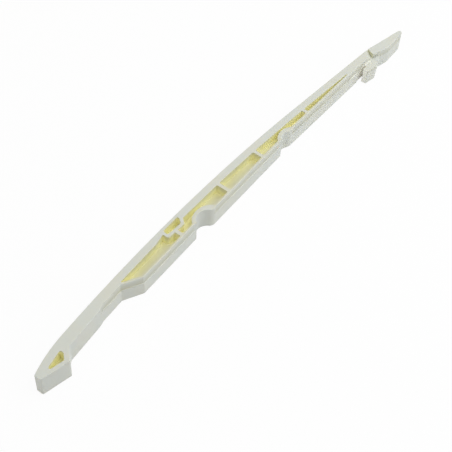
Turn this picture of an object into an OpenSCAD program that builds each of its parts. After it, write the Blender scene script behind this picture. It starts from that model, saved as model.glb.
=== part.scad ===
// Timing chain guide: a one-piece moulded nylon blade, lying on its flank.
// X runs from the foot to the tip, Y points to the chain, Z goes across the blade.
// The flanks are pocketed to a web, with cross ribs between a thick running rim and a thin rear wall.

/* [Running face] */
// Radius of the long convex face that the chain runs on
crown_radius = 840; // [600:10:1200]
// Distance from the foot's end to the crown of that face
crown_at = 112; // [100:1:124]
// Radius of the lead-in at the foot
lead_radius = 65; // [50:1:90]
// Length of the lead-in at the foot
lead_length = 16; // [12:0.5:20]
// Angle by which the tip turns away from the chain
tip_bend = 7.3; // [3:0.1:11]

/* [Section] */
// Width across the blade, flank to flank
blade_width = 9; // [7.5:0.1:14]
// Thickness of the web between the two rows of pockets
web = 1.4; // [0.8:0.1:3]
// Thickness of the rim behind the running face
front_rim = 2.95; // [2.4:0.05:3.4]
// Thickness of the rear wall
rear_wall = 1.15; // [0.8:0.05:1.6]
// Thickness of each cross rib
rib = 1.5; // [0.8:0.05:2.2]
// Depth of the rear ledge below the upper flank
ledge_drop = 3.3; // [2:0.1:4.5]
// Set-back of the rear wall above the ledge
ledge_step = 0.35; // [0.1:0.05:0.6]
// Length over which the ledge runs out beside a notch
ledge_run = 0.8; // [0.4:0.1:2]
// Corner radius of the pockets
pocket_round = 0.6; // [0.3:0.05:0.8]

/* [Foot] */
// Height of the foot's end face
toe_height = 2.65; // [2:0.1:4]
// Length of the sole
sole_length = 10.9; // [9.5:0.1:13]
// Drop of the sole from the toe to the heel
sole_drop = 2.25; // [1:0.05:3.5]
// Run of the slanted heel face
heel_run = 3.7; // [2.5:0.1:5]
// Fillet between the heel face and the neck
heel_fillet = 3; // [1:0.1:4]
// Radius of the foot's outer corners
foot_round = 0.6; // [0.2:0.05:1]
// Distance from the foot's end to its pocket
foot_pocket_at = 4.8; // [4:0.1:6]
// Length of the foot's pocket
foot_pocket_length = 7; // [6:0.1:8]
// Wall between the foot's pocket and the sole
sole_wall = 1.4; // [0.8:0.05:1.6]
// Wall between the foot's pocket and the heel face
heel_wall = 1.8; // [1:0.05:2.2]

/* [Neck and knee] */
// Distance from the foot's end to the knee
neck_length = 43.3; // [38:0.1:50]
// In-plane depth of the neck where it leaves the heel
neck_depth = 4.6; // [4.2:0.05:6]
// In-plane depth of the neck just before the knee
waist_depth = 4.05; // [3.4:0.05:4.8]
// Relief where the rear ledge starts
relief = 0.4; // [0.1:0.05:0.8]
// Distance from the start of the ledge to the knee
relief_length = 12.3; // [8:0.1:16]
// Run of the ramp where the relief starts
relief_run = 2; // [1:0.1:4]
// Run of the knee's ramp
knee_run = 7.5; // [6:0.1:10]
// Radius of the knee's corners
knee_round = 0.8; // [0.3:0.05:1.5]

/* [Belly] */
// In-plane depth from the knee to the large notch
belly_depth = 8.4; // [7.8:0.05:9.2]
// In-plane depth just past the large notch
hip_depth = 9.45; // [8.6:0.05:10.2]
// In-plane depth just before the small notch
loin_depth = 7.15; // [6.6:0.05:7.6]
// In-plane depth just past the small notch
rump_depth = 6.85; // [6.5:0.05:7.4]
// In-plane depth at the end of the rear wall
tail_depth = 3.95; // [3.3:0.05:4.4]
// Length of the pocket between the knee and the first rib
cell_1 = 22.1; // [18:0.1:26]
// Length of the pocket round the large notch
cell_2 = 25.8; // [23:0.1:32]
// Length of the plain pocket
cell_3 = 20.7; // [15:0.1:26]
// Length of the pocket round the small notch
cell_4 = 29.6; // [26:0.1:36]
// Length from the last rib to the end of the rear wall
tail_length = 36.6; // [30:0.1:42]
// Height at which the last, tapering pocket ends
taper_end = 0.3; // [0.25:0.05:0.8]

/* [Stud notches] */
// Radius of the large notch
notch_1_radius = 4.5; // [4:0.1:5.2]
// Distance from the first rib to the large notch
notch_1_offset = 10.8; // [10:0.1:12]
// Depth of blade left in front of the large notch
notch_1_left = 6.1; // [5.6:0.05:6.6]
// Radius of the large notch's soft lip, on the tip's side
notch_1_lip = 2.5; // [1:0.1:3.5]
// Radius of the small notch
notch_2_radius = 3.8; // [3.2:0.1:4.6]
// Distance from the third rib to the small notch
notch_2_offset = 14.4; // [11:0.1:17]
// Depth of blade left in front of the small notch
notch_2_left = 5.55; // [5.2:0.05:5.9]
// Radius of the small notch's soft lip, on the tip's side
notch_2_lip = 5; // [2:0.1:6]

/* [Notch walls in the pockets] */
// Radius of the wall round the large notch
bulge_1_radius = 7.7; // [6.8:0.1:8.6]
// Distance from the first rib to the middle of that wall
bulge_1_offset = 11.4; // [10:0.1:12.5]
// Distance from the running face to that wall
bulge_1_depth = 4.65; // [4.2:0.05:5]
// Radius of the wall round the small notch
bulge_2_radius = 7.1; // [6.2:0.1:8]
// Distance from the third rib to the middle of that wall
bulge_2_offset = 14.9; // [12:0.1:17]
// Distance from the running face to that wall
bulge_2_depth = 3.95; // [3.6:0.05:4.3]

/* [Ring] */
// Reach of the ring before the first rib
ring_before = 3.6; // [2.5:0.1:5]
// Length of the ring
ring_length = 10.8; // [9:0.1:12]
// Distance from the running face to the ring's far side
ring_depth = 4.9; // [4.4:0.05:5.4]
// Wall of the ring
ring_wall = 1.25; // [0.8:0.05:1.5]
// Wall between the ring's pocket and the running face
ring_front = 1.15; // [0.9:0.05:1.5]
// Run of the ring's slanted corner
ring_slant = 1.9; // [0.8:0.1:2.6]
// Rise of the ring's slanted corner
ring_rise = 2.5; // [1.5:0.1:3]
// Length over which the first pocket flares out before the ring
ring_flare = 5; // [2:0.1:8]
// Corner radius of the ring
ring_round = 0.9; // [0.3:0.05:1.2]

/* [Locating lug] */
// Distance from the rear wall's end to the lug's hook
slot = 1.7; // [1:0.1:3]
// Gap between the hook and the blade
hook_gap = 1.25; // [0.8:0.05:1.8]
// Length of the hook
hook_length = 3.1; // [2:0.1:4]
// Thickness of the hook at its end
hook_end = 2.35; // [1.6:0.05:3.5]
// Length of the lug's end face
lug_length = 5.3; // [4.5:0.1:8]
// Slant of the lug's end face
lug_slant = 0.9; // [0.2:0.05:1.8]
// Drop of the lug's top below the upper flank
lug_drop = 2.4; // [1.2:0.1:3]
// Run of the ramp from the lug to the tip
lug_ramp = 7.4; // [6:0.1:9]
// Corner radius of the lug
lug_round = 0.5; // [0.2:0.05:0.9]

/* [Tip] */
// Distance from the lug to the tip's step
tip_gap = 4.3; // [3.2:0.1:5.5]
// Length of the tip past its step
tip_length = 21.8; // [14:0.1:25]
// Diagonal run of the step on the upper flank
step_run = 1.5; // [0.8:0.1:3]
// Distance from the bend of the running face to the step's wall
step_lap = 0.2; // [0.1:0.05:0.6]
// Depth of the step at the running face
step_depth = 0.6; // [0.3:0.05:0.9]
// Depth of the step at the rear
step_sink = 2.2; // [1.2:0.05:2.3]
// Length of the slope that leads down to the step at the rear
step_slope = 5; // [3:0.1:7]
// In-plane depth of the tip where the lug's ramp ends
nook_depth = 4.25; // [3.8:0.05:4.5]
// In-plane depth of the tip at its thickest
tip_depth = 4.5; // [4.2:0.05:5.4]
// Distance from the end of the ramp to the tip's thickest place
tip_rise = 4.8; // [3:0.1:6]
// In-plane depth of the tip's end
tip_end_depth = 2; // [1.8:0.05:3]
// Slant of the tip's end face
tip_slant = 2.8; // [0.5:0.1:3.5]
// Radius of the soft corner at the tip's thickest place
tip_soft = 4; // [1:0.1:6]
// Radius of the tip's end corners
tip_round = 0.9; // [0.3:0.05:1]

/* [Hidden] */
$fn = 96;
nylon = [0.93, 0.92, 0.86];
clear = 1;

// Stations along the blade
knee_0 = neck_length;
knee_1 = knee_0 + knee_run;
relief_at = knee_0 - relief_length;
rib_1 = knee_1 + cell_1;
rib_2 = rib_1 + rib + cell_2;
rib_3 = rib_2 + rib + cell_3;
rib_4 = rib_3 + rib + cell_4;
tail = rib_4 + rib + tail_length;
notch_1 = rib_1 + rib + notch_1_offset;
notch_2 = rib_3 + rib + notch_2_offset;
bulge_1 = rib_1 + rib + bulge_1_offset;
bulge_2 = rib_3 + rib + bulge_2_offset;
lug_0 = tail + slot;
lug_1 = lug_0 + lug_length;
nook = lug_1 + lug_ramp;
tip_thick = nook + tip_rise;
tip_at = lug_1 + tip_gap;
tip_end = tip_at + tip_length;
straight_at = rib_4;

// Most that a corner's radius may be, as a share of the narrow side that it rounds
narrow_share = 0.4;
slot_round = narrow_share * hook_gap;

// Flats that make up the round stretches of the running face, of a notch and of a corner
arc_steps = 40;
lead_steps = 12;
notch_steps = 24;
corner_steps = 6;

// Levels across the blade
ledge_z = blade_width - ledge_drop;
lug_z = blade_width - lug_drop;
pocket_z = (blade_width - web) / 2;

// The running face: lead-in arc, long arc, straight stretch and bent tip, with Y = 0 at the crown
function arc_y(x) = sqrt(pow(crown_radius, 2) - pow(x - crown_at, 2)) - crown_radius;
function arc_slope(x) = (crown_at - x) / (arc_y(x) + crown_radius);
lead_foot = [lead_length, arc_y(lead_length)];
lead_c = lead_foot + ([crown_at, -crown_radius] - lead_foot) * lead_radius / crown_radius;
straight_slope = arc_slope(straight_at);
tip_slope = tan(atan(straight_slope) - tip_bend);
function straight_y(x) = arc_y(straight_at) + straight_slope * (x - straight_at);
function front(x) =
    x < lead_length ? lead_c[1] + sqrt(pow(lead_radius, 2) - pow(x - lead_c[0], 2)) :
    x < straight_at ? arc_y(x) :
    x < tip_at ? straight_y(x) :
    straight_y(tip_at) + tip_slope * (x - tip_at);

// Points at a station, given by their depth behind the running face
function behind(x, depth) = [x, front(x) - depth];
function slope(a, b) = (b[1] - a[1]) / (b[0] - a[0]);
function on_line(a, b, x) = [x, a[1] + slope(a, b) * (x - a[0])];
// Where the line through a and b meets the line through c and d
function meet(a, b, c, d) =
    on_line(a, b, (c[1] - slope(c, d) * c[0] - a[1] + slope(a, b) * a[0]) / (slope(a, b) - slope(c, d)));
// The shift that sets a wall inside the face that runs from a to b
function inside(a, b, wall) = let (u = unit(b - a)) wall * [-u[1], u[0]];

// Corners of the foot and of the rear face
toe = behind(0, toe_height);
heel = [sole_length, toe[1] - sole_drop];
heel_top = behind(sole_length + heel_run, neck_depth);
knee_a = behind(knee_0, waist_depth);
knee_b = behind(knee_1, belly_depth);
notch_1a = behind(notch_1, belly_depth);
notch_1b = behind(notch_1, hip_depth);
notch_2a = behind(notch_2, loin_depth);
notch_2b = behind(notch_2, rump_depth);
tail_a = behind(tail, tail_depth);
slot_y = tail_a[1] + ledge_step;
step_a = behind(tip_at - step_run, tail_depth - ledge_step);
step_b = behind(tip_at, 0);
nook_a = behind(nook, nook_depth);
tip_a = behind(tip_thick, tip_depth);
tip_b = behind(tip_end - tip_slant, tip_end_depth);
tip_c = behind(tip_end, 0);

// Centre of the arc of radius r that rounds the corner p between its neighbours a and b
function unit(v) = v / norm(v);
function arc_centre(a, p, b, r) =
    let (u = unit(a - p), v = unit(b - p))
    p + unit(u + v) * r / sin(acos(u * v) / 2);

// Extent of the blade, for its place in the frame
reach_x = arc_centre(tip_b, tip_c, step_b, tip_round)[0] + tip_round;
low_y = arc_centre(toe, heel, heel_top, foot_round)[1] - foot_round;
deep = 2 * low_y;

// Points on the arc round c from p to q, in n flats
function turn(a) = a > 180 ? a - 360 : a < -180 ? a + 360 : a;
function bearing(v) = atan2(v[1], v[0]);
function swept(c, p, q, n) =
    let (r = norm(p - c), a = bearing(p - c), sweep = turn(bearing(q - c) - a))
    [for (i = [0:n]) c + r * [cos(a + sweep * i / n), sin(a + sweep * i / n)]];

// An outline corner [x, y, r] becomes an arc of radius r, or stays sharp where r is 0
function at(p, r) = [p[0], p[1], r];
function xy(p) = [p[0], p[1]];
function corner(a, p, b, r) =
    let (u = unit(a - p), v = unit(b - p), cut = r / tan(acos(u * v) / 2))
    swept(arc_centre(a, p, b, r), p + u * cut, p + v * cut, corner_steps);
function rounded(c) = [for (i = [0:len(c) - 1])
    let (a = c[(i + len(c) - 1) % len(c)], b = c[(i + 1) % len(c)])
    each c[i][2] == 0 ? [xy(c[i])] : corner(xy(a), xy(c[i]), xy(b), c[i][2])];

// Where the line through a and b meets the circle round o, on its left (-1) or right (1)
function on_circle(o, r, a, b, side) =
    let (m = slope(a, b), h = on_line(a, b, o[0])[1] - o[1], k = 1 + m * m)
    on_line(a, b, o[0] + (side * sqrt(k * r * r - h * h) - m * h) / k);

// Outline of a round notch, from its corner on the face a-b to the end of its soft lip on the face c-d
function notch_points(o, r, lip, a, b, c, d) =
    let (in = inside(c, d, lip), lip_c = on_circle(o, r + lip, c + in, d + in, 1))
    let (joint = o + (lip_c - o) * r / (r + lip))
    let (bowl = swept(o, on_circle(o, r, a, b, -1), joint, notch_steps))
    let (soft = swept(lip_c, joint, lip_c - in, corner_steps))
    [for (p = concat(bowl, [for (i = [1:corner_steps]) soft[i]])) at(p, 0)];
function notch_centre(x, left, r) = behind(x, left + r);
notch_1_points = notch_points(
    notch_centre(notch_1, notch_1_left, notch_1_radius), notch_1_radius, notch_1_lip,
    knee_b, notch_1a, notch_1b, notch_2a
);
notch_2_points = notch_points(
    notch_centre(notch_2, notch_2_left, notch_2_radius), notch_2_radius, notch_2_lip,
    notch_1b, notch_2a, notch_2b, tail_a
);

// Outline of the running face, from the tip's step back to the foot
function spread(a, b, n) = [for (i = [0:n - 1]) a + (b - a) * i / n];
function front_points() =
    let (arc = spread(straight_at, lead_length, arc_steps), lead = spread(lead_length, 0, lead_steps))
    [for (x = concat([tip_at], arc, lead)) at(behind(x, 0), 0)];

// Outline of the tip, from its thickest place round to its front corner
function tip_points() = [at(tip_a, tip_soft), at(tip_b, tip_round), at(tip_c, tip_round)];

// Outline of the foot and neck, up to the start of the ledge
function foot_points() = [
    at(behind(0, 0), 0), at(toe, foot_round), at(heel, foot_round), at(heel_top, heel_fillet),
    at(behind(relief_at, waist_depth + relief), 0)
];

// The end of the ledge beside a notch, at a distance from the notch's first or last point
function ledge_stop(p, a, b, run, s) = s == 0 ? [] : [at(on_line(a, b, p[0] + run) + [0, s], 0)];
function last(c) = c[len(c) - 1];

// Outline of the rear face from the ledge's start to the rear wall's end, set back by s outside the notches
function rear_points(s) = concat(
    [for (p = [
        at(behind(relief_at + relief_run, waist_depth), 0), at(knee_a, knee_round), at(knee_b, knee_round)
    ]) p + [0, s, 0]],
    ledge_stop(notch_1_points[0], knee_b, notch_1a, -ledge_run, s),
    notch_1_points,
    ledge_stop(last(notch_1_points), notch_1b, notch_2a, ledge_run, s),
    ledge_stop(notch_2_points[0], notch_1b, notch_2a, -ledge_run, s),
    notch_2_points,
    ledge_stop(last(notch_2_points), notch_2b, tail_a, ledge_run, s)
);

module lower_outline() {
    polygon(rounded(concat(foot_points(), rear_points(0), [
        at(tail_a, 0),
        [tail, slot_y, 0],
        [lug_0 + hook_length, slot_y, slot_round],
        [lug_0 + hook_length, slot_y - hook_gap, slot_round],
        [lug_0, slot_y - hook_gap, slot_round],
        [lug_0, slot_y - hook_gap - hook_end, lug_round],
        [lug_1, slot_y - hook_gap - hook_end - lug_slant, lug_round],
        at(nook_a, 0)
    ], tip_points(), front_points())));
}

module upper_outline() {
    polygon(rounded(concat(foot_points(), rear_points(ledge_step), [
        at(tail_a + [0, ledge_step], 0),
        at(step_a, 0),
        at(nook_a, 0)
    ], tip_points(), front_points())));
}

// One layer of the blade, between two heights
module layer(z0, z1) {
    translate([0, 0, z0]) linear_extrude(z1 - z0) children();
}

// The walls round the notches, which bulge into the pockets
module bulges() {
    translate(behind(bulge_1, bulge_1_depth + bulge_1_radius)) circle(r = bulge_1_radius);
    translate(behind(bulge_2, bulge_2_depth + bulge_2_radius)) circle(r = bulge_2_radius);
}

// Radius of a pocket's corners at the ends of a side that may be narrow
function side_round(side) = min(pocket_round, narrow_share * side);

// A pocket outline from its corners [x, y, r]
module pocket(c) {
    polygon(rounded(c));
}

// Corners of the pockets against the rim and against the rear wall
function rim_at(x) = at(behind(x, front_rim), pocket_round);
function wall_1(x) = on_line(knee_b, notch_1a, x) + [0, rear_wall];
function wall_2(x) = on_line(notch_1b, notch_2a, x) + [0, rear_wall];
function wall_3(x) = on_line(notch_2b, tail_a, x) + [0, rear_wall];

// The ring near the first rib
ring_0 = rib_1 - ring_before;
ring_1 = ring_0 + ring_length;
ring_y = front(rib_1) - ring_depth;

module ring_outside() {
    pocket([
        [ring_0, ring_y, ring_round], [ring_1 - ring_slant, ring_y, ring_round],
        [ring_1, ring_y + ring_rise, ring_round], [ring_1, clear, 0], [ring_0, clear, 0]
    ]);
}

module ring_pocket() {
    slant_wall = ring_wall * ring_slant / norm([ring_slant, ring_rise]);
    x0 = ring_0 + ring_wall;
    x1 = ring_1 - ring_wall;
    y0 = ring_y + ring_wall;
    slant_end = [x1, y0 + ring_rise - slant_wall];
    front_end = behind(x1, ring_front);
    end_round = side_round(front_end[1] - slant_end[1]);
    pocket([
        [x0, y0, pocket_round], [ring_1 - ring_slant - slant_wall, y0, pocket_round],
        at(slant_end, end_round), at(front_end, end_round), at(behind(x0, ring_front), pocket_round)
    ]);
}

// The first pocket starts in a point along the knee's ramp
module cell_knee() {
    ramp_in = inside(knee_a, knee_b, rear_wall);
    ramp_a = knee_a + ramp_in;
    ramp_b = knee_b + ramp_in;
    rim_a = behind(knee_0, front_rim);
    rim_b = behind(ring_0 - ring_flare, front_rim);
    pocket([
        at(meet(rim_a, rim_b, ramp_a, ramp_b), pocket_round / 2),
        at(meet(wall_1(knee_1), wall_1(rib_1), ramp_a, ramp_b), pocket_round),
        at(wall_1(rib_1), pocket_round), [rib_1, ring_y + ring_wall, 0],
        [ring_0 + ring_wall, ring_y + ring_wall, 0], at(behind(ring_0 + ring_wall, ring_front), 0),
        at(behind(ring_0, (ring_front + front_rim) / 2), 0), at(rim_b, 0)
    ]);
}

module cell_large_notch() {
    x0 = rib_1 + rib;
    pocket([
        at(wall_1(x0), pocket_round), at(wall_1(notch_1), 0), at(wall_2(notch_1), 0),
        at(wall_2(rib_2), pocket_round), rim_at(rib_2), at(behind(x0, front_rim), 0)
    ]);
}

module cell_plain() {
    x0 = rib_2 + rib;
    pocket([at(wall_2(x0), pocket_round), at(wall_2(rib_3), pocket_round), rim_at(rib_3), rim_at(x0)]);
}

module cell_small_notch() {
    x0 = rib_3 + rib;
    pocket([
        at(wall_2(x0), pocket_round), at(wall_2(notch_2), 0), at(wall_3(notch_2), 0),
        at(wall_3(rib_4), pocket_round), rim_at(rib_4), rim_at(x0)
    ]);
}

// The last pocket tapers to a narrow end between rim and rear wall
module cell_taper() {
    x0 = rib_4 + rib;
    h0 = behind(x0, front_rim)[1] - wall_3(x0)[1];
    h1 = behind(tail, front_rim)[1] - wall_3(tail)[1];
    x1 = min(x0 + (tail - x0) * (h0 - taper_end) / (h0 - h1), tail - rear_wall);
    narrow = side_round(taper_end);
    pocket([
        at(wall_3(x0), pocket_round), at(wall_3(x1), narrow), at(behind(x1, front_rim), narrow), rim_at(x0)
    ]);
}

module foot_pocket() {
    x0 = foot_pocket_at;
    x1 = x0 + foot_pocket_length;
    sole_in = inside(toe, heel, sole_wall);
    heel_in = inside(heel, heel_top, heel_wall);
    front_a = behind(x0, front_rim);
    front_b = behind(x1, front_rim);
    sole_a = on_line(toe + sole_in, heel + sole_in, x0);
    heel_b = on_line(heel + heel_in, heel_top + heel_in, x1);
    round_a = side_round(front_a[1] - sole_a[1]);
    round_b = side_round(front_b[1] - heel_b[1]);
    pocket([
        at(sole_a, round_a),
        at(meet(toe + sole_in, heel + sole_in, heel + heel_in, heel_top + heel_in), pocket_round),
        at(heel_b, round_b), at(front_b, round_b), at(front_a, round_a)
    ]);
}

module pockets() {
    difference() {
        union() {
            cell_knee();
            cell_large_notch();
            cell_plain();
            cell_small_notch();
            cell_taper();
        }
        ring_outside();
        bulges();
    }
    ring_pocket();
    foot_pocket();
}

// The step on the upper flank in front of the tip: a slope, deepest at the rear, ends at a diagonal wall
module tip_step() {
    along = step_b - step_a;
    wall = step_a + [step_lap, 0];
    start = wall - [step_slope, 0];
    fall_x = step_sink / step_slope;
    fall_y = (step_depth - step_sink - fall_x * along[0]) / along[1];
    intersection() {
        translate([0, 0, lug_z]) linear_extrude(lug_drop + clear) polygon([
            wall - along, wall + 2 * along, [start[0], wall[1] + 2 * along[1]], [start[0], wall[1] - along[1]]
        ]);
        translate([start[0], start[1], blade_width])
            rotate([0, atan(norm([fall_x, fall_y])), atan2(fall_y, fall_x)])
                translate([deep, deep, 0]) cube(-2 * deep);
    }
}

module chain_guide() {
    color(nylon) translate([-reach_x / 2, -low_y / 2, 0]) difference() {
        union() {
            layer(0, ledge_z) lower_outline();
            layer(ledge_z, blade_width) upper_outline();
            layer(ledge_z, lug_z) intersection() {
                lower_outline();
                polygon([[lug_0, deep], [nook, deep], behind(nook, rear_wall), behind(lug_0, rear_wall)]);
            }
        }
        translate([0, 0, blade_width - pocket_z]) linear_extrude(pocket_z + clear) pockets();
        translate([0, 0, -clear]) linear_extrude(pocket_z + clear) pockets();
        tip_step();
    }
}

chain_guide();
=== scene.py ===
"""Looks of a timing chain guide: a slim bowed blade moulded in natural nylon.

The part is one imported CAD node. Its solids have every form of the guide, so this
script rounds their edges, gives them a moulded nylon and lights them as a studio does.
"""

import math

import bpy
from mathutils import Matrix, Vector

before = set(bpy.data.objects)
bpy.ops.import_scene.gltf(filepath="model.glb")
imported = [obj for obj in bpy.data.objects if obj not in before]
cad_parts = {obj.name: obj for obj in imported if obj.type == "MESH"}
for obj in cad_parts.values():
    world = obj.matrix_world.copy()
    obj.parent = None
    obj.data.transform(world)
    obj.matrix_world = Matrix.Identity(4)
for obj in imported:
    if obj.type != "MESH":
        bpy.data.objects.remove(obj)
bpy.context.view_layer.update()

MM = 0.001
NODE = "chain_guide"

# Camera, in mm of the part's frame
CAMERA_PLACE = (-207.395, -138.711, 274.163)
CAMERA_AIM = (-18.453, -6.331, 0.0)
CAMERA_ROLL = 3.926
CAMERA_LENS = 77.416
CAMERA_SENSOR = 36.0
CAMERA_NEAR = 0.005
CAMERA_FAR = 20.0

# Sky
SKY_LEVEL = 0.12
WHITE = (1.0, 1.0, 1.0)

# Soft boxes: the way to each in degrees round the part and above it, its reach in metres,
# its power in watts and its colour; a box is as wide as this share of its reach
BOX_SHARE = 1.33
KEY_WAY = (-55, 42)
KEY_REACH = 0.6
KEY_POWER = 3.2
KEY_COLOUR = (0.92, 0.95, 1.0)
TOP_WAY = (22, 76)
TOP_REACH = 0.6
TOP_POWER = 1.85
TOP_COLOUR = (1.0, 0.99, 0.92)
FILL_WAY = (180, 24)
FILL_REACH = 1.2
FILL_POWER = 5.6
FILL_COLOUR = WHITE
BACK_WAY = (90, 18)
BACK_REACH = 1.2
BACK_POWER = 3.6
BACK_COLOUR = (1.0, 0.98, 0.92)

# Floor: half its width in metres, its drop under the part in mm and its looks
FLOOR_HALF = 2.0
FLOOR_DROP = 0.02
FLOOR_COLOUR = (0.9, 0.9, 0.9)
FLOOR_GLOW_SHARE = 0.94

# Rounded edges, in mm and degrees
WELD_GAP = 0.002
FLAT_ANGLE = 0.05
EDGE_ROUND = 0.15
EDGE_STEPS = 3
EDGE_ANGLE = 28

# Nylon colours: two ivories, then painted light and shade laid over them
IVORY_WARM = (0.660, 0.660, 0.585)
IVORY_COOL = (0.645, 0.660, 0.605)
# Painted light in the pockets: yellow, and amber where they are most shut in, standing in for light bouncing
# in and coming through the nylon
POCKET_LIGHT_YELLOW = (0.72, 0.70, 0.45)
POCKET_LIGHT_AMBER = (0.98, 0.945, 0.58)
# Painted light that comes through the thin walls from the pockets
THIN_WALL_LIGHT = (0.99, 0.96, 0.84)
# Painted shade, darker and warmer, on the tip's step wall that faces back along the blade
STEP_SHADE_TINT = (0.97, 0.94, 0.70)
# Painted shade on the rear face's upper half, above the ledge
BAND_SHADE_TINT = (0.88, 0.87, 0.80)
SLOT_LIGHT = (0.97, 0.955, 0.88)

# Nylon surface: noise scales per metre, and depths in mm
MOTTLE_SCALE = 90
MOTTLE_DETAIL = 4
MOTTLE_RANGE = (0.35, 0.65)
GRAIN_SCALE = 1400
GRAIN_DETAIL = 3
ROUGHNESS = (0.38, 0.55)
BUMP_STRENGTH = 0.25
BUMP_DEPTH = 0.02
REFRACTION = 1.53
SPECULAR = 0.35
SCATTER_SHARE = 0.1
SCATTER_RADIUS = (1.0, 0.85, 0.5)
SCATTER_DEPTH = 0.9

# Arc of the running face, in mm of the part's frame
CROWN_RADIUS = 840.0
CROWN = (0.555, 7.145)

# Rays for each look at how open a place is
AO_SAMPLES = 64

# Where the painted light and shade lie: openness, facing or depth from none to full tint, and places in mm
# of the part's frame
POCKET_REACH = 8.0
YELLOW_SHADE = (0.90, 0.72)
AMBER_SHADE = (0.5, 0.2)
YELLOW_DEPTH = (7.2, 3.4)
FOOT_END = (-99.2, -98.7)
BELLY_START = (-70.5, -69.5)
BELLY_END = (73.0, 75.0)
LEDGE = (5.35, 5.45)
REAR_DEPTH = 7.4
REAR_TAPER = 0.063
REAR_EDGE = (0.0, 0.3)
REAR_FACING = (0.2, 0.5)
FLAT_FACING = (0.45, 0.75)
THIN_DEPTH = (3.7, 4.2)
THIN_REACH = 2.5
THIN_SHADE = (0.55, 0.25)
THIN_FACING = (0.6, 0.9)
BAND_LOW = (5.6, 5.8)
BAND_FADE = (6.3, 9.2)
BAND_START = (-80.0, -76.0)
BAND_FACING = (0.35, 0.6)
STEP_START = (89.0, 90.5)
STEP_END = (93.5, 95.0)
FOOTWARD_FACING = (0.15, 0.5)
SLOT_SHADE = (0.75, 0.45)
LUG_SHADE = (0.97, 0.72)

# Notches, in mm of the part's frame: the middle and radius of each, and how far its lips and its wall reach
NOTCHES = (((-26.25, -3.88), 4.5), ((26.85, -2.62), 3.8))
LIP_REACH = (0.5, 1.8)
WALL_REACH = (0.1, 0.6)


def add(tree, kind, **settings):
    """A shader node with its properties set."""
    node = tree.nodes.new(kind)
    for name, value in settings.items():
        setattr(node, name, value)
    return node


def ramp(tree, value, low, high):
    """A smooth step of a value from 0 at low to 1 at high."""
    node = add(tree, "ShaderNodeMapRange", interpolation_type="SMOOTHSTEP")
    tree.links.new(value, node.inputs["Value"])
    node.inputs["From Min"].default_value = low
    node.inputs["From Max"].default_value = high
    return node.outputs["Result"]


def reckon(tree, operation, *values):
    """A sum done by a node; each value is a number or an output."""
    node = add(tree, "ShaderNodeMath", operation=operation)
    for socket, value in zip(node.inputs, values):
        if isinstance(value, float):
            socket.default_value = value
        else:
            tree.links.new(value, socket)
    return node.outputs["Value"]


def times(tree, first, *others):
    """The product of values."""
    product = first
    for other in others:
        product = reckon(tree, "MULTIPLY", product, other)
    return product


def without(tree, share):
    """What is left of 1 beside a share."""
    return reckon(tree, "SUBTRACT", 1.0, share)


def axes(tree, vector):
    """The three parts of a vector."""
    node = add(tree, "ShaderNodeSeparateXYZ")
    tree.links.new(vector, node.inputs["Vector"])
    return [node.outputs[name] for name in "XYZ"]


def reach_from(tree, x, y, middle):
    """Distance in plan from a place in mm."""
    level = add(tree, "ShaderNodeCombineXYZ")
    tree.links.new(x, level.inputs["X"])
    tree.links.new(y, level.inputs["Y"])
    reach = add(tree, "ShaderNodeVectorMath", operation="DISTANCE")
    tree.links.new(level.outputs["Vector"], reach.inputs[0])
    reach.inputs[1].default_value = (middle[0] * MM, middle[1] * MM, 0.0)
    return reach.outputs["Value"]


def blend(tree, share, first, second, how="MIX"):
    """Two colours mixed by a share; each is a colour or an output."""
    node = add(tree, "ShaderNodeMix", data_type="RGBA", blend_type=how)
    tree.links.new(share, node.inputs["Factor"])
    for side, colour in (("A", first), ("B", second)):
        socket = next(s for s in node.inputs if s.name == side and s.type == "RGBA")
        if isinstance(colour, tuple):
            socket.default_value = (*colour, 1.0)
        else:
            tree.links.new(colour, socket)
    return next(s for s in node.outputs if s.type == "RGBA")


def noise(tree, place, scale, detail):
    """A noise value with patches of about 1 / scale metres."""
    node = add(tree, "ShaderNodeTexNoise")
    tree.links.new(place, node.inputs["Vector"])
    node.inputs["Scale"].default_value = scale
    node.inputs["Detail"].default_value = detail
    return node.outputs["Fac"]


def step(tree, value, span):
    """A smooth step of a length over a span in mm."""
    return ramp(tree, value, span[0] * MM, span[1] * MM)


def between(tree, value, start, end):
    """1 between two spans in mm that a length steps up and down over."""
    return times(tree, step(tree, value, start), without(tree, step(tree, value, end)))


def facing_foot(tree, facing):
    """1 on faces that look back along the blade, towards the foot."""
    return ramp(tree, axes(tree, facing)[0], -FOOTWARD_FACING[0], -FOOTWARD_FACING[1])


def outside_notches(tree, x, y, span):
    """0 in the round notches, and 1 beyond a span past their radius."""
    shares = []
    for middle, radius in NOTCHES:
        reach = reach_from(tree, x, y, middle)
        shares.append(step(tree, reach, (radius + span[0], radius + span[1])))
    return times(tree, *shares)


def band_shade_mask(tree, place, facing):
    """The upper half of the rear face, above the ledge and beyond the neck, where painted shade greys it."""
    x, y, z = axes(tree, place)
    rearward = ramp(tree, axes(tree, facing)[1], -BAND_FACING[0], -BAND_FACING[1])
    high = between(tree, z, BAND_LOW, BAND_FADE)
    return times(tree, high, rearward, step(tree, x, BAND_START), outside_notches(tree, x, y, LIP_REACH))


def crown_depth(tree, place):
    """How deep a place lies behind the arc of the running face."""
    x, y = axes(tree, place)[:2]
    reach = reach_from(tree, x, y, (CROWN[0], CROWN[1] - CROWN_RADIUS))
    return reckon(tree, "SUBTRACT", CROWN_RADIUS * MM, reach)


def rear_face(tree, place, facing):
    """The outer rear face of the belly, which nears the crown beyond the middle."""
    x = axes(tree, place)[0]
    beyond = reckon(tree, "MAXIMUM", 0.0, x)
    limit = reckon(tree, "SUBTRACT", REAR_DEPTH * MM, reckon(tree, "MULTIPLY", REAR_TAPER, beyond))
    deep = step(tree, reckon(tree, "SUBTRACT", crown_depth(tree, place), limit), REAR_EDGE)
    return times(tree, deep, ramp(tree, axes(tree, facing)[1], -REAR_FACING[0], -REAR_FACING[1]))


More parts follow.
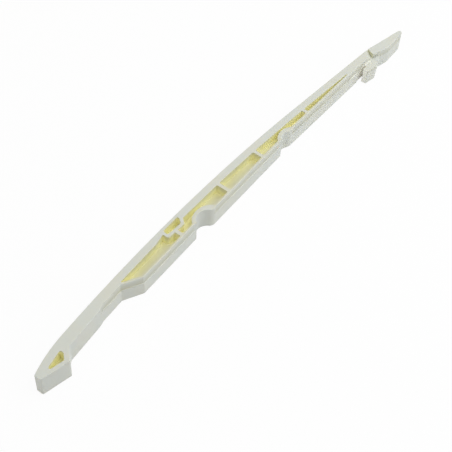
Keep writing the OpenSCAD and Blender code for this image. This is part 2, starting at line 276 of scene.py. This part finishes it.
def pocket_zone(tree, place, facing):
    """The foot's pocket and those of the belly, without the ledge and the notches."""
    x, y, z = axes(tree, place)
    belly = between(tree, x, BELLY_START, BELLY_END)
    along = reckon(tree, "MAXIMUM", belly, without(tree, step(tree, x, FOOT_END)))
    up = ramp(tree, axes(tree, facing)[2], *FLAT_FACING)
    off_ledge = without(tree, times(tree, step(tree, z, LEDGE), up))
    inner = without(tree, rear_face(tree, place, facing))
    return times(tree, along, off_ledge, inner, outside_notches(tree, x, y, WALL_REACH))


def floor_fade(tree, place, facing):
    """1 on the pockets' walls, and less on their floors towards the thin rear wall."""
    flat = ramp(tree, reckon(tree, "ABSOLUTE", axes(tree, facing)[2]), *FLAT_FACING)
    paled = without(tree, step(tree, crown_depth(tree, place), YELLOW_DEPTH))
    return without(tree, times(tree, flat, paled))


def step_shade_mask(tree, place, facing):
    """The wall of the tip's step, which faces back along the blade, away from the key light, where painted
    shade darkens it.
    """
    x = axes(tree, place)[0]
    return times(tree, between(tree, x, STEP_START, STEP_END), facing_foot(tree, facing))


def slot_mask(tree, place, facing, shade):
    """The gap between the lug and the blade, with the lug's end, where light comes through."""
    x = axes(tree, place)[0]
    lug_end = times(tree, ramp(tree, shade, *LUG_SHADE), facing_foot(tree, facing))
    gap = reckon(tree, "MAXIMUM", lug_end, ramp(tree, shade, *SLOT_SHADE))
    return times(tree, gap, between(tree, x, BELLY_END, STEP_START))


def shading(tree, reach, inside):
    """How open a place is, within a reach in mm; inside looks into the wall instead."""
    node = add(tree, "ShaderNodeAmbientOcclusion", samples=AO_SAMPLES, only_local=True, inside=inside)
    node.inputs["Distance"].default_value = reach * MM
    return node.outputs["AO"]


def thin_wall_light_mask(tree, place, facing):
    """The narrow tops of walls and ribs, where light comes through from the pockets."""
    x = axes(tree, place)[0]
    along = between(tree, x, BELLY_START, BELLY_END)
    flat = ramp(tree, reckon(tree, "ABSOLUTE", axes(tree, facing)[2]), *THIN_FACING)
    thin = ramp(tree, shading(tree, THIN_REACH, True), *THIN_SHADE)
    rearward = step(tree, crown_depth(tree, place), THIN_DEPTH)
    return times(tree, thin, flat, along, rearward)


def ivory_colour(tree, place, facing):
    """Mottled ivory, warmer on thin walls with painted light, warmer and darker on the tip's step with
    painted shade, and greyer above the ledge with painted shade.
    """
    mottle = ramp(tree, noise(tree, place, MOTTLE_SCALE, MOTTLE_DETAIL), *MOTTLE_RANGE)
    ivory = blend(tree, mottle, IVORY_WARM, IVORY_COOL)
    rims = blend(tree, thin_wall_light_mask(tree, place, facing), ivory, THIN_WALL_LIGHT, "MULTIPLY")
    stepped = blend(tree, step_shade_mask(tree, place, facing), rims, STEP_SHADE_TINT, "MULTIPLY")
    return blend(tree, band_shade_mask(tree, place, facing), stepped, BAND_SHADE_TINT, "MULTIPLY")


def with_pocket_light(tree, ivory, place, facing):
    """The ivory with painted light down in the pockets, yellow where they are partly open and a brighter
    amber where they are most shut in, and lighter behind the lug.
    """
    # Painted light: the less open a place in a pocket, the more yellow and then amber its colour
    shade = shading(tree, POCKET_REACH, False)
    zone = pocket_zone(tree, place, facing)
    yellow = times(tree, ramp(tree, shade, *YELLOW_SHADE), zone, floor_fade(tree, place, facing))
    amber = times(tree, ramp(tree, shade, *AMBER_SHADE), zone)
    pockets = blend(tree, amber, blend(tree, yellow, ivory, POCKET_LIGHT_YELLOW), POCKET_LIGHT_AMBER)
    return blend(tree, slot_mask(tree, place, facing, shade), pockets, SLOT_LIGHT)


def mould_grain(tree, place, shader):
    """A fine grain in the roughness and the relief."""
    grain = noise(tree, place, GRAIN_SCALE, GRAIN_DETAIL)
    rough = add(tree, "ShaderNodeMapRange")
    tree.links.new(grain, rough.inputs["Value"])
    rough.inputs["To Min"].default_value = ROUGHNESS[0]
    rough.inputs["To Max"].default_value = ROUGHNESS[1]
    tree.links.new(rough.outputs["Result"], shader.inputs["Roughness"])
    bump = add(tree, "ShaderNodeBump")
    bump.inputs["Strength"].default_value = BUMP_STRENGTH
    bump.inputs["Distance"].default_value = BUMP_DEPTH * MM
    tree.links.new(grain, bump.inputs["Height"])
    tree.links.new(bump.outputs["Normal"], shader.inputs["Normal"])


def nylon():
    """Natural nylon: mottled ivory, painted amber light where it lies deep, with a fine mould grain."""
    material = bpy.data.materials.new("nylon")
    material.use_nodes = True
    tree = material.node_tree
    shader = tree.nodes["Principled BSDF"]
    coords = add(tree, "ShaderNodeTexCoord")
    place, facing = coords.outputs["Object"], coords.outputs["Normal"]
    colour = with_pocket_light(tree, ivory_colour(tree, place, facing), place, facing)
    tree.links.new(colour, shader.inputs["Base Color"])
    mould_grain(tree, place, shader)
    shader.inputs["IOR"].default_value = REFRACTION
    shader.inputs["Specular IOR Level"].default_value = SPECULAR
    shader.inputs["Subsurface Weight"].default_value = SCATTER_SHARE
    shader.inputs["Subsurface Radius"].default_value = SCATTER_RADIUS
    shader.inputs["Subsurface Scale"].default_value = SCATTER_DEPTH * MM
    return material


def round_edges(piece):
    """Small moulded roundings on every sharp edge of the node, as modifiers."""
    weld = piece.modifiers.new("weld", "WELD")
    weld.merge_threshold = WELD_GAP * MM
    flat = piece.modifiers.new("flat", "DECIMATE")
    flat.decimate_type = "DISSOLVE"
    flat.angle_limit = math.radians(FLAT_ANGLE)
    bevel = piece.modifiers.new("rounding", "BEVEL")
    bevel.width = EDGE_ROUND * MM
    bevel.segments = EDGE_STEPS
    bevel.limit_method = "ANGLE"
    bevel.angle_limit = math.radians(EDGE_ANGLE)
    bevel.use_clamp_overlap = False
    bevel.loop_slide = False
    bevel.harden_normals = False
    normals = piece.modifiers.new("normals", "WEIGHTED_NORMAL")
    normals.keep_sharp = False


def dress_guide():
    """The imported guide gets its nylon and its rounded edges."""
    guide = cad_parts[NODE]
    guide.data.materials.clear()
    guide.data.materials.append(nylon())
    for face in guide.data.polygons:
        face.use_smooth = True
    round_edges(guide)


def seen_or_mirrored(tree):
    """1 for rays from the camera, and for those that gloss or glass send on."""
    path = add(tree, "ShaderNodeLightPath")
    mirrored = reckon(tree, "MAXIMUM", path.outputs["Is Glossy Ray"], path.outputs["Is Transmission Ray"])
    return reckon(tree, "MAXIMUM", path.outputs["Is Camera Ray"], mirrored)


def floor_paper():
    """White paper that looks white to the camera and keeps a soft shadow."""
    material = bpy.data.materials.new("floor_paper")
    material.use_nodes = True
    tree = material.node_tree
    tree.nodes.clear()
    paper = add(tree, "ShaderNodeBsdfDiffuse")
    paper.inputs["Color"].default_value = (*FLOOR_COLOUR, 1.0)
    glow = add(tree, "ShaderNodeEmission")
    mix = add(tree, "ShaderNodeMixShader")
    tree.links.new(times(tree, seen_or_mirrored(tree), FLOOR_GLOW_SHARE), mix.inputs["Fac"])
    tree.links.new(paper.outputs["BSDF"], mix.inputs[1])
    tree.links.new(glow.outputs["Emission"], mix.inputs[2])
    out = add(tree, "ShaderNodeOutputMaterial")
    tree.links.new(mix.outputs["Shader"], out.inputs["Surface"])
    return material


def lay_floor():
    """A wide plain floor just under the part."""
    mesh = bpy.data.meshes.new("floor")
    level = -FLOOR_DROP * MM
    corners = [(-1, -1), (1, -1), (1, 1), (-1, 1)]
    mesh.from_pydata([(x * FLOOR_HALF, y * FLOOR_HALF, level) for x, y in corners], [], [(0, 1, 2, 3)])
    floor = bpy.data.objects.new("floor", mesh)
    bpy.context.collection.objects.link(floor)
    mesh.materials.append(floor_paper())


def light_sky():
    """An even pale sky that is plain white where the camera sees it."""
    world = bpy.data.worlds.new("sky")
    bpy.context.scene.world = world
    world.use_nodes = True
    tree = world.node_tree
    tree.nodes.clear()
    even = add(tree, "ShaderNodeBackground")
    even.inputs["Color"].default_value = (*WHITE, 1.0)
    even.inputs["Strength"].default_value = SKY_LEVEL
    white = add(tree, "ShaderNodeBackground")
    white.inputs["Color"].default_value = (*WHITE, 1.0)
    white.inputs["Strength"].default_value = 1.0
    mix = add(tree, "ShaderNodeMixShader")
    tree.links.new(seen_or_mirrored(tree), mix.inputs["Fac"])
    tree.links.new(even.outputs["Background"], mix.inputs[1])
    tree.links.new(white.outputs["Background"], mix.inputs[2])
    out = add(tree, "ShaderNodeOutputWorld")
    tree.links.new(mix.outputs["Shader"], out.inputs["Surface"])


def soft_box(name, way, reach, power, colour):
    """A square area lamp that faces the part, some way round it and above it."""
    lamp = bpy.data.lights.new(name, "AREA")
    lamp.shape = "SQUARE"
    lamp.size = reach * BOX_SHARE
    lamp.energy = power
    lamp.color = colour
    box = bpy.data.objects.new(name, lamp)
    turn, rise = (math.radians(angle) for angle in way)
    level = math.cos(rise)
    towards = Vector((level * math.cos(turn), level * math.sin(turn), math.sin(rise)))
    box.location = towards * reach
    box.rotation_euler = (-towards).to_track_quat("-Z", "Y").to_euler()
    bpy.context.collection.objects.link(box)


def set_camera():
    """The photograph's view of the part."""
    lens = bpy.data.cameras.new("camera")
    lens.lens = CAMERA_LENS
    lens.sensor_width = CAMERA_SENSOR
    lens.sensor_fit = "HORIZONTAL"
    lens.clip_start = CAMERA_NEAR
    lens.clip_end = CAMERA_FAR
    camera = bpy.data.objects.new("camera", lens)
    bpy.context.collection.objects.link(camera)
    place = Vector(CAMERA_PLACE) * MM
    aim = Vector(CAMERA_AIM) * MM
    look = (aim - place).to_track_quat("-Z", "Y").to_matrix().to_4x4()
    roll = Matrix.Rotation(math.radians(CAMERA_ROLL), 4, "Z")
    camera.matrix_world = Matrix.Translation(place) @ look @ roll
    bpy.context.scene.camera = camera


bpy.context.scene.view_settings.view_transform = "Standard"
set_camera()
light_sky()
soft_box("key", KEY_WAY, KEY_REACH, KEY_POWER, KEY_COLOUR)
soft_box("top", TOP_WAY, TOP_REACH, TOP_POWER, TOP_COLOUR)
soft_box("fill", FILL_WAY, FILL_REACH, FILL_POWER, FILL_COLOUR)
soft_box("back", BACK_WAY, BACK_REACH, BACK_POWER, BACK_COLOUR)
lay_floor()
dress_guide()
